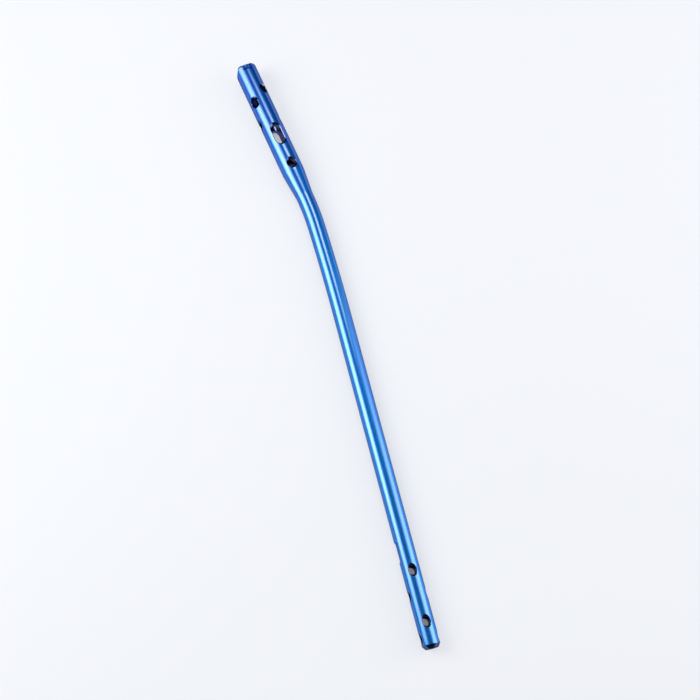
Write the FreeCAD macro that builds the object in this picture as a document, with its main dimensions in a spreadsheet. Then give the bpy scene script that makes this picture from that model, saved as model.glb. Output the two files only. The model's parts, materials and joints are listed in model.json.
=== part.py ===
import FreeCAD, Part
import math
import os
import Sketcher

# Cannulated intramedullary nail, one piece of titanium alloy, millimetres.
#
# The nail is drawn with its head's axis along X, the proximal end at x = 0 and the tip
# towards +X. The bend lies in the XY plane and turns the shaft towards -Y, the front
# (anterior) side. Z is the side-to-side (mediolateral) direction. The finished nail is
# then laid down as it comes to rest on the surface z = 0, with its shaft along X.

os.makedirs("parts", exist_ok=True)
doc = FreeCAD.newDocument("IntramedullaryNail")

# Driving sizes
SIZES = [
    # whole nail
    ("nail_length", 300.0, "length along the axis, end to tip"),
    ("head_diameter", 11.0, "proximal part"),
    ("head_length", 61.0, "cylindrical proximal part, to the taper"),
    ("taper_length", 13.4, "cone between head and shaft"),
    ("shaft_diameter", 8.5, "shaft"),
    ("bend_angle", 7.5, "main bend below the taper, degrees"),
    ("bend_radius", 130.0, "radius of the main bend, on the axis"),
    ("settle_angle", 2.3, "long gentle bend after the main one, degrees"),
    ("settle_radius", 1150.0, "its radius, on the axis"),
    # inside
    ("cannula_diameter", 4.9, "guide wire passage, end to end"),
    ("thread_bore_diameter", 6.0, "core of the connecting thread at the proximal end"),
    ("thread_bore_depth", 10.5, "depth of that bore"),
    ("thread_run_out", 1.5, "cone from the threaded bore to the guide wire passage"),
    # proximal end
    ("end_round", 1.2, "rounded outer edge of the proximal end"),
    ("bevel_depth", 1.8, "flat bevel on the front of the end, radially"),
    ("bevel_length", 5.0, "its length along the nail"),
    ("key_width", 4.0, "keyways for the insertion handle"),
    ("key_length", 3.3, "their length along the nail"),
    ("key_collar_diameter", 8.0, "collar that stays behind the keyways"),
    # proximal locking holes, stations measured from the proximal end
    ("lock_diameter", 4.7, "proximal locking holes"),
    ("lock_mouth_diameter", 6.2, "countersunk mouth of those holes at the surface"),
    ("lock_mouth_depth", 0.75, "depth of that countersink"),
    ("oblique_angle", 43.0, "turn of the oblique holes away from Z, degrees"),
    ("oblique_back_station", 15.0, "oblique hole that opens up and to the back"),
    ("oblique_front_station", 21.0, "oblique hole that opens up and to the front"),
    ("front_station", 32.3, "front to back hole"),
    ("slot_station", 41.0, "middle of the dynamic slot"),
    ("slot_width", 4.8, "dynamic slot"),
    ("slot_length", 10.3, "its length, round ends included"),
    ("slot_rim", 1.1, "countersink round the slot, at the surface"),
    ("static_station", 57.6, "static side to side hole"),
    # distal locking holes, stations measured back from the tip
    ("tip_lock_diameter", 4.2, "distal locking holes"),
    ("tip_lock_mouth_diameter", 6.2, "countersunk mouth of those holes"),
    ("tip_lock_mouth_depth", 0.55, "depth of that countersink, shallower as the wall is thinner"),
    ("side_station", 12.0, "side to side hole nearest the tip"),
    ("side_pitch", 23.7, "to the other side to side hole"),
    ("back_station", 4.8, "front to back hole nearest the tip"),
    ("back_pitch", 19.8, "to the other front to back hole"),
    # positioning flat for the distal aiming arm, on the front of the shaft
    ("flat_station", 45.4, "middle of the flat, back from the tip"),
    ("flat_depth", 0.9, "depth below the shaft's surface"),
    ("flat_length", 8.2, "length of the level floor"),
    ("flat_run_out", 0.9, "slope at each end"),
    # tip
    ("tip_cone_length", 1.6, "lead-in cone at the tip"),
    ("tip_cone_depth", 1.2, "its radial depth"),
    # how far cutting outlines reach outside the metal
    ("cut_margin", 2.0, "reach of cutting outlines beyond the surface"),
]

sheet = doc.addObject("Spreadsheet::Sheet", "Sizes")
for row, (alias, value, note) in enumerate(SIZES, start=1):
    sheet.set("A%d" % row, alias)
    sheet.set("B%d" % row, repr(value))
    sheet.set("C%d" % row, note)
    sheet.setAlias("B%d" % row, alias)
doc.recompute()

# Derived places
HEAD_R = "(Sizes.head_diameter / 2)"
SHAFT_R = "(Sizes.shaft_diameter / 2)"
CANNULA_R = "(Sizes.cannula_diameter / 2)"
THREAD_R = "(Sizes.thread_bore_diameter / 2)"
MARGIN = "Sizes.cut_margin"

TAPER_END = "(Sizes.head_length + Sizes.taper_length)"
BEND = "(Sizes.bend_angle * 1 deg)"
TURN = "((Sizes.bend_angle + Sizes.settle_angle) * 1 deg)"
BEND_X = "(%s + Sizes.bend_radius * sin(%s))" % (TAPER_END, BEND)
BEND_Y = "(-Sizes.bend_radius * (1 - cos(%s)))" % BEND
SETTLE_X = "(%s + Sizes.settle_radius * (sin(%s) - sin(%s)))" % (BEND_X, TURN, BEND)
SETTLE_Y = "(%s + Sizes.settle_radius * (cos(%s) - cos(%s)))" % (BEND_Y, TURN, BEND)
CURVED = "((Sizes.bend_radius * Sizes.bend_angle + Sizes.settle_radius * Sizes.settle_angle) * pi / 180)"
STRAIGHT = "(Sizes.nail_length - %s - %s)" % (TAPER_END, CURVED)


def from_tip(station):
    """X and Y of the axis at a station measured back from the tip, on the straight shaft."""
    along = "(%s - (%s))" % (STRAIGHT, station)
    return ("(%s + %s * cos(%s))" % (SETTLE_X, along, TURN),
            "(%s - %s * sin(%s))" % (SETTLE_Y, along, TURN))


# Sketch helpers
body = doc.addObject("PartDesign::Body", "nail")
body.Label = "nail"


def origin(role):
    return next(f for f in body.Origin.OriginFeatures if f.Role == role)


def new_sketch(name, role, place=("0", "0", "0"), axis=None, angle=None):
    """Sketch on one of the nail's own planes, shifted and turned by sheet expressions."""
    sketch = body.newObject("Sketcher::SketchObject", name)
    sketch.AttachmentSupport = [(origin(role), "")]
    sketch.MapMode = "FlatFace"
    if axis is not None:
        sketch.AttachmentOffset = FreeCAD.Placement(
            FreeCAD.Vector(), FreeCAD.Rotation(FreeCAD.Vector(*axis), 1.0))
        sketch.setExpression("AttachmentOffset.Rotation.Angle", angle)
    for letter, text in zip("xyz", place):
        if text != "0":
            sketch.setExpression("AttachmentOffset.Base." + letter, text)
    return sketch


def number(sketch, text):
    return float(getattr(sketch.evalExpression(text), "Value", sketch.evalExpression(text)))


def pin(sketch, geo, point, x=None, y=None):
    """Hold one point of a sketch at a place given by expressions."""
    for kind, text in (("DistanceX", x), ("DistanceY", y)):
        if text is None:
            continue
        index = sketch.addConstraint(
            Sketcher.Constraint(kind, -1, 1, geo, point, number(sketch, text)))
        if text != "0":
            sketch.setExpression("Constraints[%d]" % index, text)


def outline(sketch, corners):
    """Closed outline of straight edges through the given corners."""
    at = [FreeCAD.Vector(number(sketch, x), number(sketch, y), 0) for x, y in corners]
    count = len(at)
    for i in range(count):
        sketch.addGeometry(Part.LineSegment(at[i], at[(i + 1) % count]), False)
    for i in range(count):
        sketch.addConstraint(Sketcher.Constraint("Coincident", i, 2, (i + 1) % count, 1))
    for i, (x, y) in enumerate(corners):
        pin(sketch, i, 1, x, y)


def circle(sketch, radius):
    """Circle about the sketch's origin."""
    geo = sketch.addGeometry(Part.Circle(FreeCAD.Vector(), FreeCAD.Vector(0, 0, 1),
                                         number(sketch, radius)), False)
    sketch.addConstraint(Sketcher.Constraint("Coincident", geo, 3, -1, 1))
    index = sketch.addConstraint(Sketcher.Constraint("Radius", geo, number(sketch, radius)))
    sketch.setExpression("Constraints[%d]" % index, radius)


def obround(sketch, half_run, radius):
    """Slot outline: two straight sides and two half circles, long way along X."""
    run, r = number(sketch, half_run), number(sketch, radius)
    up = FreeCAD.Vector(0, 0, 1)
    sketch.addGeometry(Part.LineSegment(FreeCAD.Vector(-run, r, 0), FreeCAD.Vector(run, r, 0)), False)
    sketch.addGeometry(Part.ArcOfCircle(Part.Circle(FreeCAD.Vector(run, 0, 0), up, r),
                                        -math.pi / 2, math.pi / 2), False)
    sketch.addGeometry(Part.LineSegment(FreeCAD.Vector(run, -r, 0), FreeCAD.Vector(-run, -r, 0)), False)
    sketch.addGeometry(Part.ArcOfCircle(Part.Circle(FreeCAD.Vector(-run, 0, 0), up, r),
                                        math.pi / 2, 3 * math.pi / 2), False)
    for a, pa, b, pb in ((0, 2, 1, 2), (1, 1, 2, 1), (2, 2, 3, 2), (3, 1, 0, 1)):
        sketch.addConstraint(Sketcher.Constraint("Coincident", a, pa, b, pb))
    pin(sketch, 0, 1, "-" + half_run, radius)
    pin(sketch, 0, 2, half_run, radius)
    pin(sketch, 2, 1, half_run, "-" + radius)
    pin(sketch, 2, 2, "-" + half_run, "-" + radius)
    pin(sketch, 1, 3, half_run)
    pin(sketch, 3, 3, "-" + half_run)


def feature(kind, name, profile, **settings):
    """Feature made from a sketch; text settings starting with '=' are sheet expressions."""
    made = body.newObject("PartDesign::" + kind, name)
    made.Profile = (profile, [""])
    for key, value in settings.items():
        if isinstance(value, str) and value.startswith("="):
            made.setExpression(key, value[1:])
        else:
            setattr(made, key, value)
    doc.recompute()
    return made


# Head and taper

# Half section of the proximal part: threaded bore, run-out cone, guide wire passage.
head_section = new_sketch("HeadSection", "XY_Plane")
outline(head_section, [
    ("0", THREAD_R),
    ("0", HEAD_R),
    ("Sizes.head_length", HEAD_R),
    (TAPER_END, SHAFT_R),
    (TAPER_END, CANNULA_R),
    ("(Sizes.thread_bore_depth + Sizes.thread_run_out)", CANNULA_R),
    ("Sizes.thread_bore_depth", THREAD_R),
])
head = feature("Revolution", "Head", head_section,
               ReferenceAxis=(head_section, ["H_Axis"]), Angle=360)

# Bent shaft

# The axis of the shaft: main bend, long gentle bend, straight run to the tip.
axis_path = new_sketch("ShaftAxis", "XY_Plane")
xt = number(axis_path, TAPER_END)
r1, r2 = number(axis_path, "Sizes.bend_radius"), number(axis_path, "Sizes.settle_radius")
bend, turn = math.radians(number(axis_path, BEND)), math.radians(number(axis_path, TURN))
bend_end = FreeCAD.Vector(number(axis_path, BEND_X), number(axis_path, BEND_Y), 0)
settle_end = FreeCAD.Vector(number(axis_path, SETTLE_X), number(axis_path, SETTLE_Y), 0)
settle_centre = bend_end - FreeCAD.Vector(math.sin(bend), math.cos(bend), 0) * r2
tip_x, tip_y = from_tip("0")
axis_path.addGeometry(Part.ArcOfCircle(
    Part.Circle(FreeCAD.Vector(xt, -r1, 0), FreeCAD.Vector(0, 0, 1), r1),
    math.pi / 2 - bend, math.pi / 2), False)
axis_path.addGeometry(Part.ArcOfCircle(
    Part.Circle(settle_centre, FreeCAD.Vector(0, 0, 1), r2),
    math.pi / 2 - turn, math.pi / 2 - bend), False)
axis_path.addGeometry(Part.LineSegment(
    settle_end, FreeCAD.Vector(number(axis_path, tip_x), number(axis_path, tip_y), 0)), False)
axis_path.addConstraint(Sketcher.Constraint("Coincident", 0, 1, 1, 2))
axis_path.addConstraint(Sketcher.Constraint("Coincident", 1, 1, 2, 1))
pin(axis_path, 0, 3, TAPER_END, "(-Sizes.bend_radius)")
pin(axis_path, 0, 2, TAPER_END, None)
pin(axis_path, 0, 1, BEND_X, BEND_Y)
pin(axis_path, 1, 3, "(%s - Sizes.settle_radius * sin(%s))" % (BEND_X, BEND),
    "(%s - Sizes.settle_radius * cos(%s))" % (BEND_Y, BEND))
pin(axis_path, 1, 1, SETTLE_X, None)
pin(axis_path, 2, 2, tip_x, tip_y)

# Ring section at the small end of the taper, carried along the axis.
ring = new_sketch("ShaftSection", "YZ_Plane", ("0", "0", TAPER_END))
circle(ring, SHAFT_R)
circle(ring, CANNULA_R)
shaft = feature("AdditivePipe", "Shaft", ring, Spine=(axis_path, ["Edge1", "Edge2", "Edge3"]))

# Lead-in cone at the tip, cut about the shaft's own axis.
tip_cut = new_sketch("TipCone", "XY_Plane", (tip_x, tip_y, "0"), (0, 0, 1), "-" + TURN)
outline(tip_cut, [
    ("(-Sizes.tip_cone_length)", SHAFT_R),
    ("0", "(%s - Sizes.tip_cone_depth)" % SHAFT_R),
    ("0", "(%s + %s)" % (SHAFT_R, MARGIN)),
    ("(-Sizes.tip_cone_length)", "(%s + %s)" % (SHAFT_R, MARGIN)),
])
feature("Groove", "TipCone", tip_cut, ReferenceAxis=(tip_cut, ["H_Axis"]), Angle=360)

# Proximal end

# Rounded outer edge.
base = body.Tip
rim = [i for i, e in enumerate(base.Shape.Edges, start=1)
       if isinstance(e.Curve, Part.Circle) and abs(e.Curve.Radius - sheet.head_diameter / 2) < 1e-6
       and abs(e.Curve.Center.x) < 1e-6]
end_round = body.newObject("PartDesign::Fillet", "EndRound")
end_round.Base = (base, ["Edge%d" % i for i in rim])
end_round.setExpression("Radius", "Sizes.end_round")
doc.recompute()

# Flat bevel on the front of the end, where the nail lies under the skin.
bevel = new_sketch("FrontBevel", "XY_Plane")
outline(bevel, [
    ("0", "(Sizes.bevel_depth - %s)" % HEAD_R),
    ("Sizes.bevel_length", "(-%s)" % HEAD_R),
    ("Sizes.bevel_length", "(-%s - %s)" % (HEAD_R, MARGIN)),
    ("0", "(-%s - %s)" % (HEAD_R, MARGIN)),
])
feature("Pocket", "FrontBevel", bevel, Type="ThroughAll", SideType="Symmetric")

# Keyways for the insertion handle: one above, one below, each ending on an inner collar.
key = new_sketch("Keyway", "YZ_Plane")
half, collar = number(key, "Sizes.key_width / 2"), number(key, "Sizes.key_collar_diameter / 2")
foot = "sqrt((Sizes.key_collar_diameter / 2)^2 - (Sizes.key_width / 2)^2)"
low, top = number(key, foot), number(key, "(%s + %s)" % (HEAD_R, MARGIN))
lean = math.asin(half / collar)
key.addGeometry(Part.ArcOfCircle(Part.Circle(FreeCAD.Vector(), FreeCAD.Vector(0, 0, 1), collar),
                                 math.pi / 2 - lean, math.pi / 2 + lean), False)
key.addGeometry(Part.LineSegment(FreeCAD.Vector(-half, low, 0), FreeCAD.Vector(-half, top, 0)), False)
key.addGeometry(Part.LineSegment(FreeCAD.Vector(-half, top, 0), FreeCAD.Vector(half, top, 0)), False)
key.addGeometry(Part.LineSegment(FreeCAD.Vector(half, top, 0), FreeCAD.Vector(half, low, 0)), False)
for a, pa, b, pb in ((0, 2, 1, 1), (1, 2, 2, 1), (2, 2, 3, 1), (3, 2, 0, 1)):
    key.addConstraint(Sketcher.Constraint("Coincident", a, pa, b, pb))
key.addConstraint(Sketcher.Constraint("Coincident", 0, 3, -1, 1))
pin(key, 0, 2, "(-Sizes.key_width / 2)", foot)
pin(key, 0, 1, "(Sizes.key_width / 2)", None)
pin(key, 1, 2, "(-Sizes.key_width / 2)", "(%s + %s)" % (HEAD_R, MARGIN))
pin(key, 2, 2, "(Sizes.key_width / 2)", "(%s + %s)" % (HEAD_R, MARGIN))
keyway = feature("Pocket", "Keyway", key, Type="Length", Reversed=True, Length="=Sizes.key_length")
keyways = body.newObject("PartDesign::PolarPattern", "Keyways")
keyways.Originals = [keyway]
keyways.Axis = (origin("X_Axis"), [""])
keyways.Angle = 360
keyways.Occurrences = 2
body.Tip = keyways
doc.recompute()


# Locking holes
def locking_hole(name, role, place, axis, angle, bore, mouth, mouth_depth, surface_r):
    """Round hole right through the nail, countersunk at both mouths.

    The sketch holds half the hole's section; its V axis is the hole's axis.
    """
    bore_r, mouth_r = "(%s / 2)" % bore, "(%s / 2)" % mouth
    sketch = new_sketch(name + "Section", role, place, axis, angle)
    throat = "(%s - %s)" % (surface_r, mouth_depth)
    out = "(%s + %s)" % (surface_r, MARGIN)
    out_r = "(%s + %s * (%s - %s) / %s)" % (mouth_r, MARGIN, mouth_r, bore_r, mouth_depth)
    outline(sketch, [
        ("0", "(-%s)" % out), (out_r, "(-%s)" % out), (bore_r, "(-%s)" % throat),
        (bore_r, throat), (out_r, out), ("0", out),
    ])
    return feature("Groove", name, sketch, ReferenceAxis=(sketch, ["V_Axis"]), Angle=360)


PROXIMAL = ("Sizes.lock_diameter", "Sizes.lock_mouth_diameter", "Sizes.lock_mouth_depth", HEAD_R)
DISTAL = ("Sizes.tip_lock_diameter", "Sizes.tip_lock_mouth_diameter", "Sizes.tip_lock_mouth_depth", SHAFT_R)

# Two oblique holes that cross, one front to back, one side to side.
locking_hole("ObliqueBack", "XZ_Plane", ("Sizes.oblique_back_station", "0", "0"),
             (1, 0, 0), "(-Sizes.oblique_angle * 1 deg)", *PROXIMAL)
locking_hole("ObliqueFront", "XZ_Plane", ("Sizes.oblique_front_station", "0", "0"),
             (1, 0, 0), "(Sizes.oblique_angle * 1 deg)", *PROXIMAL)
locking_hole("FrontHole", "XY_Plane", ("Sizes.front_station", "0", "0"), None, None, *PROXIMAL)
locking_hole("StaticHole", "XZ_Plane", ("Sizes.static_station", "0", "0"), None, None, *PROXIMAL)

# Dynamic slot, side to side, with a countersunk rim above and below.
slot_run = "(Sizes.slot_length / 2 - Sizes.slot_width / 2)"
slot = new_sketch("Slot", "XY_Plane", ("Sizes.slot_station", "0", "0"))
obround(slot, slot_run, "(Sizes.slot_width / 2)")
feature("Pocket", "DynamicSlot", slot, Type="ThroughAll", SideType="Symmetric")
slot_mouth = new_sketch("SlotMouth", "XY_Plane", ("Sizes.slot_station", "0", HEAD_R))
obround(slot_mouth, slot_run, "(Sizes.slot_width / 2 + Sizes.slot_rim)")
rim_cut = feature("Pocket", "SlotRim", slot_mouth, Type="Length", Length="=Sizes.slot_rim",
                  TaperAngle=-45)
rims = body.newObject("PartDesign::Mirrored", "SlotRims")
rims.Originals = [rim_cut]
rims.MirrorPlane = (origin("XY_Plane"), [""])
body.Tip = rims
doc.recompute()

# Distal pairs: two holes side to side, two front to back, in step along the shaft.
for name, role, station, pitch, axis, count in (
        ("SideHole", "XZ_Plane", "Sizes.side_station", "Sizes.side_pitch", (0, 1, 0), 2),
        ("BackHole", "XY_Plane", "Sizes.back_station", "Sizes.back_pitch", (0, 0, 1), 2)):
    x, y = from_tip(station)
    place = (x, "0", "(-%s)" % y) if role == "XZ_Plane" else (x, y, "0")
    hole = locking_hole(name, role, place, axis, "-" + TURN, *DISTAL)
    pair = body.newObject("PartDesign::LinearPattern", name + "s")
    pair.Originals = [hole]
    pair.Direction = (hole.Profile[0], ["H_Axis"])
    pair.Reversed = True
    pair.setExpression("Length", pitch)
    pair.Occurrences = count
    body.Tip = pair
    doc.recompute()

# Positioning flat on the front of the shaft.
flat_x, flat_y = from_tip("Sizes.flat_station")
floor = "(Sizes.flat_depth - %s)" % SHAFT_R
half_floor = "(Sizes.flat_length / 2)"
reach = "(%s + Sizes.flat_run_out)" % half_floor
flat = new_sketch("PositioningFlat", "XY_Plane", (flat_x, flat_y, "0"), (0, 0, 1), "-" + TURN)
outline(flat, [
    ("(-%s)" % half_floor, floor),
    (half_floor, floor),
    (reach, "(-%s)" % SHAFT_R),
    (reach, "(-%s - %s)" % (SHAFT_R, MARGIN)),
    ("(-%s)" % reach, "(-%s - %s)" % (SHAFT_R, MARGIN)),
    ("(-%s)" % reach, "(-%s)" % SHAFT_R),
])
feature("Pocket", "PositioningFlat", flat, Type="ThroughAll", SideType="Symmetric")

# Laid on its side

# The nail rests as a bent rod does: the straight shaft on its lower line, along X, and the
# thicker head on the edge where its taper begins. That edge stands off the shaft's line by
# `off_line`, so the nail rolls until it is up by the difference of the two radii, which
# lifts the front side and the proximal end.
off_line = "((%s - Sizes.head_length) * sin(%s) + %s * cos(%s))" % (SETTLE_X, TURN, SETTLE_Y, TURN)
roll = "asin((%s - %s) / %s)" % (HEAD_R, SHAFT_R, off_line)
shaft_line = "(%s * sin(%s) + %s * cos(%s))" % (SETTLE_X, TURN, SETTLE_Y, TURN)


def lay(x, y):
    """Turn the shaft along X, roll the nail to its rest and stand it on z = 0."""
    body.setExpression("Placement", "placement(vector(%r; %r - %s * cos(%s); %s * sin(%s) + %s); "
                       "rotationx(-%s) * rotationz(%s))"
                       % (x, y, shaft_line, roll, shaft_line, roll, SHAFT_R, roll, TURN))
    doc.recompute()
    return body.Shape.optimalBoundingBox(False, False)


# The origin is on the surface, below the middle of the nail's box.
box = lay(0.0, 0.0)
box = lay(-box.Center.x, -box.Center.y)

# Checks and export
for obj in doc.Objects:
    if "Invalid" in obj.State or "Error" in obj.State:
        raise RuntimeError("%s failed: %s" % (obj.Name, obj.State))
shape = body.Shape
if shape.isNull() or not shape.isValid() or len(shape.Solids) != 1:
    raise RuntimeError("nail: not one valid solid")
print("nail: volume %.1f mm3, box %s" % (shape.Volume, box))
print("nail: placement %s" % body.Placement)
shape.exportStep("parts/%s.step" % body.Label)
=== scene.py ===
"""Looks of a cannulated intramedullary nail: polished titanium alloy, anodised blue.

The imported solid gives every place: its bores' mounts say where the axis runs and where the
cross holes are. The visible nail is made finer than the solid, so that its polished surface
shades evenly, and its connecting thread has real ridges. All lengths are in metres.
"""
import json
import math

import bmesh
import bpy
from mathutils import Matrix, Vector


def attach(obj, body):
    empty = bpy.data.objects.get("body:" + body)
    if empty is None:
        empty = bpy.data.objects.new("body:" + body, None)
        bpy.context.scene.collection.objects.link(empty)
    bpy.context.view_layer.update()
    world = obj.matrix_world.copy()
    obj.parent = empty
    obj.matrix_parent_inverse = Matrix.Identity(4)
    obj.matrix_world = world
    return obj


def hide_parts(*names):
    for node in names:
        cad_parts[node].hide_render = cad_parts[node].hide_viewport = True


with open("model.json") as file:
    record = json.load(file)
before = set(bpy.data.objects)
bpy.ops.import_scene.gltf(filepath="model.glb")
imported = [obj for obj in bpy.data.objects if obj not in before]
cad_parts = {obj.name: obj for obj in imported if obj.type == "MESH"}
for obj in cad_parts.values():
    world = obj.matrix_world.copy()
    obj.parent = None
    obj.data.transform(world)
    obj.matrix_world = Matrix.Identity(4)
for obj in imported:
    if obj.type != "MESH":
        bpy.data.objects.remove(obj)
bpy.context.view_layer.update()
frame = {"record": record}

MM = 0.001
mounts = {m["name"]: m for m in frame["record"]["mounts"]}


def place(mount):
    return Vector(mounts[mount]["pos_m"])


def way(mount):
    return Vector(mounts[mount]["axis"])


def size(mount, key):
    return mounts[mount]["dims"][key] * MM


# The nail's sizes
LENGTH = 300 * MM
HEAD_RADIUS = 5.5 * MM
SHAFT_RADIUS = 4.25 * MM
TAPER_START, TAPER_END = 61.0 * MM, 74.4 * MM
KNEE = 0.4 * MM                  # run that softens both ends of the taper
BEND_RADIUS, SETTLE_RADIUS = 130 * MM, 1150 * MM
SETTLE_ANGLE = math.radians(2.3)
END_ROUND = 1.2 * MM             # rounding of the proximal end's edge
TIP_CONE_LENGTH, TIP_CONE_DEPTH = 1.6 * MM, 1.2 * MM
TIP_ROUND = 0.25 * MM            # run of the rounding before the tip's cone
TIP_ROUND_STRETCH, TIP_ROUND_SHARE = 0.4, 0.8   # how much longer and shallower than an arc
TIP_EDGE_LENGTH, TIP_EDGE_DEPTH = 0.15 * MM, 0.05 * MM
PASSAGE_RADIUS = size("guide_wire_passage", "r_mm")
PASSAGE_LIP = 0.2 * MM           # broken edge of the passage at the tip
THREAD_CORE = size("handle_thread", "r_mm")
THREAD_LENGTH = size("handle_thread", "length_mm")
THREAD_LEAD_IN = 0.5 * MM        # cone before the first ridge
THREAD_RUN_OUT = 1.5 * MM
THREAD_PITCH, THREAD_DEPTH = 1.0 * MM, 0.45 * MM
THREAD_CREST, THREAD_FLANKS = 0.15, 0.7     # shares of the pitch
MOUTH_RADIUS = 3.1 * MM          # of every countersunk hole, at the surface

# How finely it is made
AROUND = 96                      # faces round the nail
HOLE_FACES = 64                  # and round a hole
FIRST_STEP = 1.0 * MM            # from a rounding or a cone to the next ring
OUTSIDE = {"head": 2.0 * MM, "taper": 1.1 * MM, "bend": 0.8 * MM, "settle": 1.6 * MM,
           "shaft": 2.5 * MM}    # spacing of the rings
INSIDE = {"thread": 0.1 * MM, "head": 2.5 * MM, "bend": 1.6 * MM, "settle": 3.2 * MM,
          "shaft": 4.0 * MM}
REACH = 2.0 * MM                 # how far milling cutters stand out of the metal
DRILL_REACH = 0.8 * MM           # and drills
SAME_PLACE = 0.002 * MM          # corners nearer than this are one
NO_EDGE = 0.001 * MM             # edges shorter than this are none
SHARP_EDGE = math.radians(14)

# Directions in the head: along it, side to side, and to the back
HEAD_WAY = -way("handle_thread")
SHAFT_WAY = way("guide_wire_passage")
ACROSS = way("static_hole")
BACK = ACROSS.cross(HEAD_WAY)
END = place("handle_thread")

# Where the two bends end, along the axis
MAIN_END = TAPER_END + BEND_RADIUS * (HEAD_WAY.angle(SHAFT_WAY) - SETTLE_ANGLE)
SETTLE_END = MAIN_END + SETTLE_RADIUS * SETTLE_ANGLE


def drilled_wall(hole):
    """Centre of a hole on the nail's axis, its radius, and how far out its straight wall goes.

    A hole's mount states the wall between the passage and the countersink on one side.
    """
    radius, length = size(hole, "r_mm"), size(hole, "length_mm")
    inner = math.sqrt(PASSAGE_RADIUS ** 2 - radius ** 2)
    return place(hole) - way(hole) * (inner + length / 2), radius, inner + length


def centreline(s):
    """Point of the nail's axis at a distance s from the proximal end, and its direction."""
    along, drop, turn = min(s, TAPER_END), 0.0, 0.0
    if s > TAPER_END:
        turn = (min(s, MAIN_END) - TAPER_END) / BEND_RADIUS
        along += BEND_RADIUS * math.sin(turn)
        drop += BEND_RADIUS * (1 - math.cos(turn))
    if s > MAIN_END:
        start = turn
        turn += (min(s, SETTLE_END) - MAIN_END) / SETTLE_RADIUS
        along += SETTLE_RADIUS * (math.sin(turn) - math.sin(start))
        drop += SETTLE_RADIUS * (math.cos(start) - math.cos(turn))
    if s > SETTLE_END:
        along += (s - SETTLE_END) * math.cos(turn)
        drop += (s - SETTLE_END) * math.sin(turn)
    way_here = HEAD_WAY * math.cos(turn) - BACK * math.sin(turn)
    return END + HEAD_WAY * along - BACK * drop, way_here


def at(s, back, across):
    """Point beside the axis at s, so far to the back and so far side to side."""
    point, way_here = centreline(s)
    return point + ACROSS.cross(way_here) * back + ACROSS * across


# Mesh helpers
def mesh_object(name, mesh):
    piece = bpy.data.objects.new(name, mesh)
    bpy.context.collection.objects.link(piece)
    return piece


def rings_mesh(name, rings, closed_run, bored_from=None):
    """Closed mesh through rings of equal count, joined in order.

    A run that isn't closed gets end faces. Faces from the ring `bored_from` on take the second
    material, up to the last ring.
    """
    bm = bmesh.new()
    made = [[bm.verts.new(p) for p in ring] for ring in rings]
    count = len(rings[0])
    pairs = list(zip(made, made[1:])) + ([(made[-1], made[0])] if closed_run else [])
    for k, (a, b) in enumerate(pairs):
        bored_here = bored_from is not None and bored_from <= k < len(rings) - 1
        for i in range(count):
            j = (i + 1) % count
            face = bm.faces.new((a[i], a[j], b[j], b[i]))
            face.material_index = int(bored_here)
    if not closed_run:
        bm.faces.new(reversed(made[0]))
        bm.faces.new(made[-1])
    bmesh.ops.recalc_face_normals(bm, faces=bm.faces)
    mesh = bpy.data.meshes.new(name)
    bm.to_mesh(mesh)
    bm.free()
    return mesh


def steps(start, end, step):
    """Values from start up to, and without, end, in even steps of at most step."""
    count = max(1, math.ceil((end - start) / step))
    return [start + (end - start) * i / count for i in range(count)]


# Turned blank
def outer_profile():
    """Stations and radii of the outside, from the proximal end to the tip."""
    profile = []
    for degrees in range(0, 91, 9):
        a = math.radians(degrees)
        profile.append((END_ROUND * (1 - math.cos(a)), HEAD_RADIUS - END_ROUND * (1 - math.sin(a))))
    head = steps(END_ROUND + FIRST_STEP, TAPER_START - KNEE, OUTSIDE["head"])
    profile += [(s, HEAD_RADIUS) for s in head + [TAPER_START - KNEE]]
    slope = (HEAD_RADIUS - SHAFT_RADIUS) / (TAPER_END - TAPER_START)
    for s in steps(TAPER_START, TAPER_END, OUTSIDE["taper"]) + [TAPER_END]:
        profile.append((s, HEAD_RADIUS - slope * (s - TAPER_START)))
    cone_start = LENGTH - TIP_CONE_LENGTH
    rounding_start = cone_start - TIP_ROUND
    shaft = (steps(TAPER_END + KNEE, MAIN_END, OUTSIDE["bend"])
             + steps(MAIN_END, SETTLE_END, OUTSIDE["settle"])
             + steps(SETTLE_END, rounding_start, OUTSIDE["shaft"]))
    profile += [(s, SHAFT_RADIUS) for s in shaft]
    lean = math.atan2(TIP_CONE_DEPTH, TIP_CONE_LENGTH)
    arc = TIP_ROUND * math.tan(lean / 2) / math.sin(lean)
    for share in (0.0, 0.5, 1.0):
        a = lean * share
        stretch = TIP_ROUND * share * TIP_ROUND_STRETCH
        profile.append((rounding_start + arc * math.sin(a) + stretch,
                        SHAFT_RADIUS - arc * (1 - math.cos(a)) * TIP_ROUND_SHARE))
    end_radius = SHAFT_RADIUS - TIP_CONE_DEPTH
    profile.append((LENGTH - TIP_EDGE_LENGTH, end_radius + TIP_EDGE_LENGTH * math.tan(lean)))
    profile.append((LENGTH, end_radius - TIP_EDGE_DEPTH))
    return profile


def inner_profile():
    """The same for the inside, from the tip back to the proximal end."""
    cone_end = THREAD_LENGTH + THREAD_RUN_OUT
    lip_start = LENGTH - PASSAGE_LIP
    passage = ([cone_end] + steps(cone_end + FIRST_STEP, TAPER_END, INSIDE["head"])
               + steps(TAPER_END, MAIN_END, INSIDE["bend"])
               + steps(MAIN_END, SETTLE_END, INSIDE["settle"])
               + steps(SETTLE_END, lip_start, INSIDE["shaft"]) + [lip_start])
    thread = steps(THREAD_LEAD_IN, THREAD_LENGTH, INSIDE["thread"]) + [THREAD_LENGTH]
    return ([(LENGTH, PASSAGE_RADIUS + PASSAGE_LIP)]
            + [(s, PASSAGE_RADIUS) for s in reversed(passage)]
            + [(s, THREAD_CORE) for s in reversed(thread)]
            + [(0.0, THREAD_CORE + THREAD_LEAD_IN)])


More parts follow.
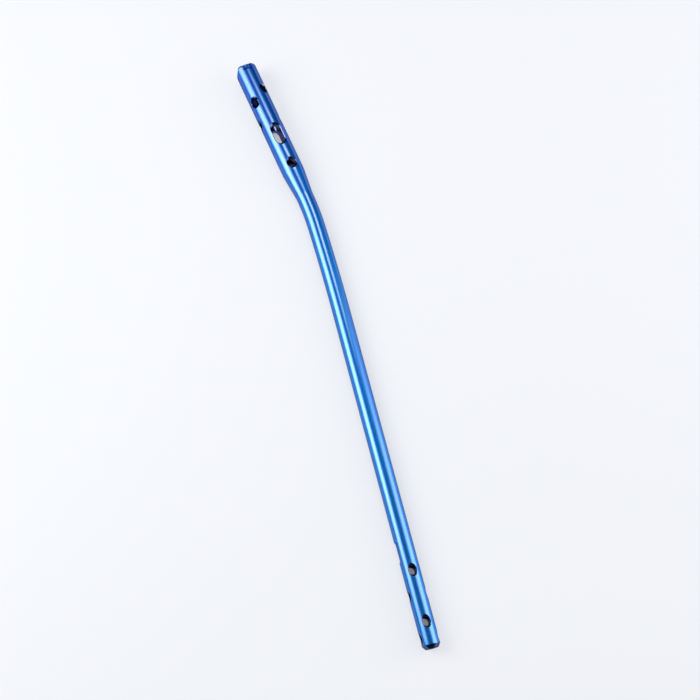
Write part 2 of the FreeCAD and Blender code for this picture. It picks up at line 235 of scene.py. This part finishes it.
def thread_cut(s, turn):
    """How deep the thread is cut at a station and an angle: one V groove, right-handed."""
    if not 0.0 < s < THREAD_LENGTH:
        return 0.0
    phase = (s / THREAD_PITCH - turn / (2 * math.pi)) % 1.0
    tooth = 1 - abs(2 * phase - 1)
    fade = min(1.0, (THREAD_LENGTH - s) / THREAD_PITCH)
    return THREAD_DEPTH * fade * min(1.0, max(0.0, (tooth - THREAD_CREST) / THREAD_FLANKS))


def blank(finishes):
    """The turned and bent nail, hollow from end to end, bored also on its tip's cone."""
    rings = []
    outside = outer_profile()
    for part, profile in (("outside", outside), ("inside", inner_profile())):
        for s, radius in profile:
            point, way_here = centreline(s)
            back = ACROSS.cross(way_here)
            ring = []
            for i in range(AROUND):
                turn = 2 * math.pi * i / AROUND
                r = radius + (thread_cut(s, turn) if part == "inside" else 0.0)
                ring.append(point + (ACROSS * math.cos(turn) + back * math.sin(turn)) * r)
            rings.append(ring)
    cone_ring = sum(1 for s, _ in outside if s < LENGTH - TIP_CONE_LENGTH) - 1
    mesh = rings_mesh("nail_body", rings, True, bored_from=cone_ring)
    for finish in finishes:
        mesh.materials.append(finish)
    return mesh_object("nail_body", mesh)


# Node helpers
def maths(nodes, links, operation, *values):
    """Math node over sockets and numbers, and its result."""
    node = nodes.new("ShaderNodeMath")
    node.operation = operation
    for socket, value in zip(node.inputs, values):
        if isinstance(value, (int, float)):
            socket.default_value = value
        else:
            links.new(value, socket)
    return node.outputs[0]


def spread(nodes, links, value, given, wanted):
    """Value that goes over the wanted range while the socket goes over the given one."""
    node = nodes.new("ShaderNodeMapRange")
    node.inputs["From Min"].default_value, node.inputs["From Max"].default_value = given
    node.inputs["To Min"].default_value, node.inputs["To Max"].default_value = wanted
    links.new(value, node.inputs["Value"])
    return node.outputs[0]


def between(nodes, links, share, first, second):
    """Colour between two others."""
    mix = nodes.new("ShaderNodeMix")
    mix.data_type = "RGBA"
    mix.inputs["A"].default_value = first
    mix.inputs["B"].default_value = second
    links.new(share, mix.inputs["Factor"])
    return mix.outputs["Result"]


# Drilled holes
def sockets(tree, inputs):
    """Named inputs of a node group, its geometry first, and one geometry output."""
    tree.interface.new_socket("Geometry", in_out="INPUT", socket_type="NodeSocketGeometry")
    for name, kind in inputs:
        tree.interface.new_socket(name, in_out="INPUT", socket_type="NodeSocket" + kind)
    tree.interface.new_socket("Geometry", in_out="OUTPUT", socket_type="NodeSocketGeometry")
    return tree.nodes.new("NodeGroupInput"), tree.nodes.new("NodeGroupOutput")


def drilling_tree():
    """Node group that drills a countersunk hole at each vertex of another object.

    Each drill is turned from its own section: the mouth's cone, the bore and the mouth's cone.
    A vertex's `aim` attribute turns the drill's Z axis along the hole.
    """
    tree = bpy.data.node_groups.new("drilled_holes", "GeometryNodeTree")
    given, result = sockets(tree, [
        ("Hole centres", "Object"), ("Bore radius", "Float"), ("Mouth radius", "Float"),
        ("Wall height", "Float"), ("Surface radius", "Float"), ("Reach", "Float"),
        ("Faces round", "Int"), ("Finish", "Material")])
    link, new = tree.links.new, tree.nodes.new

    def work_out(operation, a, b):
        return maths(tree.nodes, tree.links, operation, a, b)

    def by_index(values):
        node = new("GeometryNodeIndexSwitch")
        node.data_type = "FLOAT"
        while len(node.index_switch_items) < len(values):
            node.index_switch_items.new()
        link(new("GeometryNodeInputIndex").outputs[0], node.inputs["Index"])
        for i, value in enumerate(values):
            link(value, node.inputs[1 + i])
        return node.outputs[0]

    bore, mouth, throat, surface, reach = (given.outputs[name] for name in (
        "Bore radius", "Mouth radius", "Wall height", "Surface radius", "Reach"))
    slope = work_out("DIVIDE", work_out("SUBTRACT", mouth, bore),
                     work_out("SUBTRACT", surface, throat))
    far = work_out("ADD", surface, reach)
    wide = work_out("ADD", mouth, work_out("MULTIPLY", reach, slope))
    heights = [work_out("MULTIPLY", far, -1), work_out("MULTIPLY", throat, -1), throat, far]
    radii = [wide, bore, bore, wide]
    line = new("GeometryNodeMeshLine")
    line.inputs["Count"].default_value = len(heights)
    height = new("ShaderNodeCombineXYZ")
    link(by_index(heights), height.inputs["Z"])
    stretch = new("GeometryNodeSetPosition")
    link(line.outputs["Mesh"], stretch.inputs["Geometry"])
    link(height.outputs[0], stretch.inputs["Position"])
    core = new("GeometryNodeMeshToCurve")
    link(stretch.outputs["Geometry"], core.inputs["Mesh"])
    circle = new("GeometryNodeCurvePrimitiveCircle")
    circle.inputs["Radius"].default_value = 1.0
    link(given.outputs["Faces round"], circle.inputs["Resolution"])
    drill_bit = new("GeometryNodeCurveToMesh")
    drill_bit.inputs["Fill Caps"].default_value = True
    link(core.outputs["Curve"], drill_bit.inputs["Curve"])
    link(circle.outputs["Curve"], drill_bit.inputs["Profile Curve"])
    link(by_index(radii), drill_bit.inputs["Scale"])

    centres = new("GeometryNodeObjectInfo")
    link(given.outputs["Hole centres"], centres.inputs["Object"])
    aim = new("GeometryNodeInputNamedAttribute")
    aim.data_type = "QUATERNION"
    aim.inputs["Name"].default_value = "aim"
    drill_bits = new("GeometryNodeInstanceOnPoints")
    link(centres.outputs["Geometry"], drill_bits.inputs["Points"])
    link(drill_bit.outputs["Mesh"], drill_bits.inputs["Instance"])
    link(aim.outputs["Attribute"], drill_bits.inputs["Rotation"])
    real = new("GeometryNodeRealizeInstances")
    link(drill_bits.outputs["Instances"], real.inputs["Geometry"])
    mark = new("GeometryNodeStoreNamedAttribute")
    mark.data_type, mark.domain = "BOOLEAN", "FACE"
    mark.inputs["Name"].default_value = "drilled"
    mark.inputs["Value"].default_value = True
    link(real.outputs["Geometry"], mark.inputs["Geometry"])
    cut = new("GeometryNodeMeshBoolean")
    cut.operation, cut.solver = "DIFFERENCE", "EXACT"
    link(given.outputs["Geometry"], cut.inputs["Mesh 1"])
    link(mark.outputs["Geometry"], cut.inputs["Mesh 2"])
    drilled = new("GeometryNodeInputNamedAttribute")
    drilled.data_type = "BOOLEAN"
    drilled.inputs["Name"].default_value = "drilled"
    finish = new("GeometryNodeSetMaterial")
    link(drilled.outputs["Attribute"], finish.inputs["Selection"])
    link(cut.outputs["Mesh"], finish.inputs["Geometry"])
    link(given.outputs["Finish"], finish.inputs["Material"])
    link(finish.outputs["Geometry"], result.inputs["Geometry"])
    return tree


def hole_centres(name, holes):
    """One vertex for each hole's mount, with the turn that aims a drill along it."""
    mesh = bpy.data.meshes.new(name)
    mesh.from_pydata([drilled_wall(hole)[0] for hole in holes], [], [])
    aim = mesh.attributes.new("aim", "QUATERNION", "POINT")
    for i, hole in enumerate(holes):
        aim.data[i].value = way(hole).to_track_quat("Z", "Y")
    return mesh_object(name, mesh)


def drill(piece, tree, holes, surface, finish):
    """Drill one family of equal holes; the helper that holds their centres is returned."""
    centres = hole_centres("hole_centres", holes)
    modifier = piece.modifiers.new("holes", "NODES")
    modifier.node_group = tree
    _, bore, wall = drilled_wall(holes[0])
    values = {"Hole centres": centres, "Bore radius": bore, "Mouth radius": MOUTH_RADIUS,
              "Wall height": wall, "Surface radius": surface, "Reach": DRILL_REACH,
              "Faces round": HOLE_FACES, "Finish": finish}
    for item in tree.interface.items_tree:
        if item.in_out == "INPUT" and item.name in values:
            modifier[item.identifier] = values[item.name]
    return centres


# Milled shapes
def obround(s, height, half_run, radius, points=24):
    """Ring of a slot's outline at one height across the nail."""
    ring = []
    for centre, start in ((half_run, -90), (-half_run, 90)):
        for i in range(points + 1):
            a = math.radians(start + 180 * i / points)
            ring.append(at(s, 0, 0) + HEAD_WAY * (centre + radius * math.cos(a))
                        + BACK * (radius * math.sin(a)) + ACROSS * height)
    return ring


def slot_cutter():
    """Dynamic slot: straight walls with a 45 degree rim on both sides."""
    station, half_width, half_length, rim = 41.0 * MM, 2.4 * MM, 5.15 * MM, 1.1 * MM
    far, rim_start = HEAD_RADIUS + REACH, HEAD_RADIUS - rim
    rings = []
    for z in (-far, -rim_start, rim_start, far):
        wider = max(0.0, abs(z) - rim_start)
        rings.append(obround(station, z, half_length - half_width, half_width + wider))
    return rings_mesh("slot_cutter", rings, False)


def keyway_cutter(side):
    """Keyway for the insertion handle, down to the collar that stays behind it.

    Its floor curves up at the inner end, where the milling cutter came out. The collar keeps
    the first of its two finishes, and the milled faces have the second, the darker blue that partly
    paints the shade on the keyway's walls.
    """
    half_width, length, collar, run_up = 2.0 * MM, 3.3 * MM, 4.0 * MM, 1.3 * MM
    collar_top, collar_lean = 1.02 * collar, 0.5    # past these the floor counts as milled
    outside = HEAD_RADIUS + REACH
    rise_steps, across_steps = 8, 16
    stations = [(-REACH, collar)]
    for i in range(rise_steps + 1):
        a = math.pi / 2 * i / rise_steps
        s = length - run_up * (1 - math.sin(a))
        stations.append((s, collar + run_up * (1 - math.cos(a))))
    across = [half_width * (2 * i / across_steps - 1) for i in range(across_steps + 1)]
    rings = []
    for s, level in stations:
        section = [(back, math.sqrt(level ** 2 - back ** 2)) for back in across]
        section += [(half_width, outside), (-half_width, outside)]
        rings.append([at(s, back * side, up * side) for back, up in section])
    mesh = rings_mesh("keyway_cutter", rings, False)
    for face in mesh.polygons:
        top = max((mesh.vertices[v].co - END).dot(ACROSS) * side for v in face.vertices)
        on_collar = top < collar_top and abs(face.normal.dot(HEAD_WAY)) < collar_lean
        face.material_index = 0 if on_collar else 1
    return mesh


def prism_cutter(name, place_of, outline, half_width):
    """Prism through the nail side to side, from an outline of (along, out) corners."""
    rings = [[place_of(along, out) + ACROSS * z for along, out in outline]
             for z in (-half_width, half_width)]
    return rings_mesh(name, rings, False)


def bevel_cutter():
    """Bevel on the front of the proximal end, crowned by what polishing takes off its ends."""
    depth, length, crown = 1.8 * MM, 5.0 * MM, 0.28 * MM
    shares = [i / 10 for i in range(-4, 13)]        # from before the end to past the bevel
    outside = -2 * REACH - HEAD_RADIUS
    outline = []
    for share in shares:
        level = depth * (1 - share) - HEAD_RADIUS
        outline.append((length * share, level - 4 * crown * share * (1 - share)))
    outline += [(length * shares[-1], outside), (length * shares[0], outside)]
    return prism_cutter("bevel_cutter", lambda along, out: END + HEAD_WAY * along + BACK * out,
                        outline, HEAD_RADIUS + REACH)


def flat_cutter():
    """Positioning flat on the front of the shaft, with a slope at each end."""
    depth, half_floor, run_out = 0.9 * MM, 4.1 * MM, 0.9 * MM
    middle, front = place("positioning_flat"), way("positioning_flat")
    rise = depth + REACH
    reach = half_floor + run_out * rise / depth
    outline = [(-half_floor, 0.0), (half_floor, 0.0), (reach, rise), (-reach, rise)]
    return prism_cutter("flat_cutter", lambda along, out: middle + SHAFT_WAY * along + front * out,
                        outline, SHAFT_RADIUS + REACH)


def mill(piece, mesh, *finishes):
    """Cut a shape out of the nail; its faces keep the finishes given here."""
    for finish in finishes:
        mesh.materials.append(finish)
    cutter = mesh_object(mesh.name, mesh)
    cutter.hide_render = True
    modifier = piece.modifiers.new(mesh.name, "BOOLEAN")
    modifier.operation, modifier.solver, modifier.object = "DIFFERENCE", "EXACT", cutter
    modifier.material_mode = "TRANSFER"
    return cutter


# Finishes
BROKEN_EDGE = 0.2 * MM           # radius of edges broken after cutting
HEAD_BLUE = (0.002, 0.120, 0.56, 1)
SHAFT_BLUE = (0.002, 0.196, 0.64, 1)
DRIFT_START, DRIFT_END = -110 * MM, -40 * MM    # where the blue changes, along X
# darker blues of drilled and milled faces: partly the unbuffed film, partly painted shade of the
# holes and recesses
BORED_AND_SHADED_BLUES = (0.008, 0.045, 0.180, 1), (0.012, 0.065, 0.260, 1)
FLOOR_COLOUR = (0.895, 0.913, 0.950, 1)
OWN_LIGHT = 0.74                 # share of the floor's look that is its own light
# the floor's own light is dimmed this near the nail, which paints a contact shade there
PAINTED_SHADE_REACH = 8 * MM           # how near the nail that share dies out


def new_material(name):
    material = bpy.data.materials.new(name)
    material.use_nodes = True
    nodes = material.node_tree.nodes
    return material, nodes, material.node_tree.links, nodes["Principled BSDF"]


def tool_marks(nodes, links, shader, height, strength):
    """Shallow marks, on normals that are rounded where the tool's burr was broken."""
    edge = nodes.new("ShaderNodeBevel")
    edge.samples = 6
    edge.inputs["Radius"].default_value = BROKEN_EDGE
    bump = nodes.new("ShaderNodeBump")
    bump.inputs["Strength"].default_value = strength
    bump.inputs["Distance"].default_value = 0.02 * MM
    links.new(height, bump.inputs["Height"])
    links.new(edge.outputs[0], bump.inputs["Normal"])
    links.new(bump.outputs[0], shader.inputs["Normal"])


def film_gloss(nodes, links, shader, head_on):
    """Gloss of the oxide film: strongest head on, and lost at a glancing view, where the metal
    takes over."""
    glance = nodes.new("ShaderNodeLayerWeight")
    gloss = spread(nodes, links, glance.outputs["Facing"], (0.0, 1.0), (head_on, 0.0))
    links.new(gloss, shader.inputs["Coat Weight"])


def anodised_titanium():
    """Polished titanium under a thin blue oxide film: the metal under it spreads the light
    softly, and the film's own surface gives the sharper white gloss."""
    material, nodes, links, shader = new_material("polished_blue_film")
    shader.inputs["Metallic"].default_value = 1.0
    shader.inputs["Specular Tint"].default_value = (0.2, 0.26, 0.42, 1)
    shader.inputs["Coat Roughness"].default_value = 0.09
    shader.inputs["Coat IOR"].default_value = 2.0
    film_gloss(nodes, links, shader, 0.86)
    where = nodes.new("ShaderNodeTexCoord")

    def noise(scale, stretch, detail):
        mapping = nodes.new("ShaderNodeMapping")
        mapping.inputs["Scale"].default_value = stretch
        links.new(where.outputs["Object"], mapping.inputs["Vector"])
        texture = nodes.new("ShaderNodeTexNoise")
        texture.inputs["Scale"].default_value = scale
        texture.inputs["Detail"].default_value = detail
        links.new(mapping.outputs[0], texture.inputs["Vector"])
        return texture.outputs["Fac"]

    # the film is a little thinner on the shaft than on the head, and drifts slowly along it,
    # which turns the blue from ultramarine towards teal
    parts = nodes.new("ShaderNodeSeparateXYZ")
    links.new(where.outputs["Object"], parts.inputs[0])
    along = spread(nodes, links, parts.outputs["X"], (DRIFT_START, DRIFT_END), (-0.2, 0.6))
    drift = maths(nodes, links, "MULTIPLY_ADD", noise(28.0, (1, 1, 1), 2.0), 0.6, along)
    blue = between(nodes, links, drift, HEAD_BLUE, SHAFT_BLUE)
    links.new(blue, shader.inputs["Base Color"])

    # fine polishing marks along the nail, and their slight unevenness
    marks = noise(1.0, (90, 2600, 2600), 3.0)
    roughness = spread(nodes, links, marks, (0.3, 0.7), (0.40, 0.45))
    links.new(roughness, shader.inputs["Roughness"])
    tool_marks(nodes, links, shader, marks, 0.05)
    return material


def bored_and_shaded_titanium():
    """The same metal where it was drilled and milled: anodised, but not buffed, and given a darker
    blue that is partly painted shade for the insides of holes, slot and keyway, faintly patched by
    the tool."""
    material, nodes, links, shader = new_material("bored_blue_film")
    shader.inputs["Metallic"].default_value = 1.0
    shader.inputs["Specular Tint"].default_value = (0.16, 0.12, 0.30, 1)
    shader.inputs["Coat Roughness"].default_value = 0.1
    shader.inputs["Coat IOR"].default_value = 2.0
    film_gloss(nodes, links, shader, 0.9)
    where = nodes.new("ShaderNodeTexCoord")
    patches = nodes.new("ShaderNodeTexNoise")
    patches.inputs["Scale"].default_value = 900.0
    links.new(where.outputs["Object"], patches.inputs["Vector"])
    blue = between(nodes, links, patches.outputs["Fac"], *BORED_AND_SHADED_BLUES)
    links.new(blue, shader.inputs["Base Color"])
    roughness = spread(nodes, links, patches.outputs["Fac"], (0.0, 1.0), (0.24, 0.34))
    links.new(roughness, shader.inputs["Roughness"])
    tool_marks(nodes, links, shader, patches.outputs["Fac"], 0.1)
    return material


def pale_floor():
    """Pale, even floor: seen directly or in gloss, most of its light is its own, so that the
    nail's shadow stays faint; near the nail, where it closes the floor in, that own light is
    dimmed, which paints a contact shade."""
    material, nodes, links, shader = new_material("pale_floor")
    nodes.remove(shader)
    matt = nodes.new("ShaderNodeBsdfDiffuse")
    matt.inputs["Color"].default_value = FLOOR_COLOUR
    # ambient occlusion dims the floor's own light beside and under the nail: painted contact shade
    painted_shade_occlusion = nodes.new("ShaderNodeAmbientOcclusion")
    painted_shade_occlusion.samples = 8
    painted_shade_occlusion.inputs["Distance"].default_value = PAINTED_SHADE_REACH
    own = nodes.new("ShaderNodeEmission")
    own.inputs["Color"].default_value = FLOOR_COLOUR
    strength = spread(nodes, links, painted_shade_occlusion.outputs["AO"], (0.25, 0.55), (0.25, 1.0))
    links.new(strength, own.inputs["Strength"])
    seen = nodes.new("ShaderNodeLightPath")
    either = seen.outputs["Is Camera Ray"]
    for ray in ("Is Glossy Ray", "Is Transmission Ray"):
        either = maths(nodes, links, "MAXIMUM", either, seen.outputs[ray])
    mix = nodes.new("ShaderNodeMixShader")
    links.new(maths(nodes, links, "MULTIPLY", either, OWN_LIGHT), mix.inputs["Fac"])
    links.new(matt.outputs[0], mix.inputs[1])
    links.new(own.outputs[0], mix.inputs[2])
    links.new(mix.outputs[0], nodes["Material Output"].inputs["Surface"])
    return material


# The visible nail
def flat_mesh(piece):
    """The piece's shape with its modifiers applied, as a plain mesh."""
    graph = bpy.context.evaluated_depsgraph_get()
    return bpy.data.meshes.new_from_object(piece.evaluated_get(graph))


titanium = anodised_titanium()
# drilled and milled faces get a darker blue that partly paints the shade inside the holes, slot and
# keyway
bored = bored_and_shaded_titanium()
nail = blank([titanium, bored])
tree = drilling_tree()
head_holes = ["oblique_back_hole", "oblique_front_hole", "front_hole", "static_hole"]
tip_holes = [name for name in mounts if name.startswith("distal_")]
helpers = [drill(nail, tree, head_holes, HEAD_RADIUS, bored),
           drill(nail, tree, tip_holes, SHAFT_RADIUS, bored)]
helpers += [mill(nail, slot_cutter(), bored)]
helpers += [mill(nail, keyway_cutter(side), titanium, bored) for side in (1, -1)]
helpers += [mill(nail, mesh, titanium) for mesh in (bevel_cutter(), flat_cutter())]
solid = flat_mesh(nail)
nail.modifiers.clear()
nail.data = solid
solid.name = "nail_body"
for helper in helpers:
    bpy.data.objects.remove(helper)
bm = bmesh.new()
bm.from_mesh(solid)
bmesh.ops.remove_doubles(bm, verts=bm.verts, dist=SAME_PLACE)
bmesh.ops.dissolve_degenerate(bm, dist=NO_EDGE, edges=bm.edges)
bm.to_mesh(solid)
bm.free()
solid.shade_smooth()
solid.set_sharp_from_angle(angle=SHARP_EDGE)
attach(nail, "root")
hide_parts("nail")

# Floor and lamps
CEILING = 0.08                   # brightness straight overhead
LAMPS = 0.92                     # strength of all lamps together
FALL_OFF_REACH = 1.75            # how far a softbox's glow goes on, in its half sizes
WATTS = 4.0                      # of a square metre of softbox, for a brightness of 1
AIM = Vector((0, 0, 5 * MM))     # what the softboxes face

bpy.ops.mesh.primitive_plane_add(size=20)
floor = bpy.context.object
floor.name = "floor"
floor.data.materials.append(pale_floor())


def softbox(name, centre, half_width, half_depth, brightness):
    """Soft lamp that faces the nail, brightest in its middle and dim towards its edges.

    The half sizes are where it has fallen to half; the lamp itself goes on to where it is dark.
    """
    lamp = bpy.data.lights.new(name, "AREA")
    lamp.shape = "RECTANGLE"
    lamp.size, lamp.size_y = 2 * half_width * FALL_OFF_REACH, 2 * half_depth * FALL_OFF_REACH
    lamp.energy = brightness * WATTS * lamp.size * lamp.size_y
    lamp.use_nodes = True
    nodes, links = lamp.node_tree.nodes, lamp.node_tree.links
    spot = nodes.new("ShaderNodeNewGeometry")
    parts = nodes.new("ShaderNodeSeparateXYZ")
    links.new(spot.outputs["Parametric"], parts.inputs[0])
    fade_start, edge = 1.0 / FALL_OFF_REACH - 0.5, 0.5       # from the middle, in its own size
    glow = []
    for side in ("X", "Y"):
        off_middle = maths(nodes, links, "SUBTRACT", parts.outputs[side], 0.5)
        far = maths(nodes, links, "ABSOLUTE", off_middle)
        fade = spread(nodes, links, far, (fade_start, edge), (1.0, 0.0))
        fade.node.interpolation_type = "SMOOTHSTEP"
        glow.append(fade)
    links.new(maths(nodes, links, "MULTIPLY", *glow), nodes["Emission"].inputs["Strength"])
    box = bpy.data.objects.new(name, lamp)
    back = (Vector(centre) - AIM).normalized()
    along = (Vector((1, 0, 0)) - back * back.x).normalized()
    turn = Matrix((along, back.cross(along), back)).transposed()
    box.matrix_world = Matrix.Translation(Vector(centre)) @ turn.to_4x4()
    bpy.context.collection.objects.link(box)


softbox("front_softbox", (-0.160, -0.425, 0.423), 0.230, 0.226, 5.6 * LAMPS)
softbox("back_softbox", (0.100, 0.562, 0.209), 0.230, 0.303, 3.4 * LAMPS)
softbox("head_softbox", (-0.309, 0.266, 0.538), 0.101, 0.114, 5.0 * LAMPS)

# Dark studio walls, and a dim ceiling that grows paler overhead
world = bpy.data.worlds.new("studio")
bpy.context.scene.world = world
world.use_nodes = True
nodes, links = world.node_tree.nodes, world.node_tree.links
heading = nodes.new("ShaderNodeTexCoord")
parts = nodes.new("ShaderNodeSeparateXYZ")
links.new(heading.outputs["Generated"], parts.inputs[0])
overhead = maths(nodes, links, "MULTIPLY", parts.outputs["Z"], CEILING)
overhead.node.use_clamp = True
nodes["Background"].inputs["Color"].default_value = (1, 1, 1, 1)
links.new(overhead, nodes["Background"].inputs["Strength"])

# Camera, fitted to the photograph's outline and hole mouths
CAMERA_LENS = 78.24
CAMERA_PLACE = (0.20399, 0.04450, 0.69599)
CAMERA_TURN = (14.6697, 7.1090, 75.4227)        # degrees

lens = bpy.data.cameras.new("camera")
lens.lens = CAMERA_LENS
camera = bpy.data.objects.new("camera", lens)
camera.location = CAMERA_PLACE
camera.rotation_euler = [math.radians(a) for a in CAMERA_TURN]
bpy.context.collection.objects.link(camera)
bpy.context.scene.camera = camera
bpy.context.scene.view_settings.view_transform = "Standard"
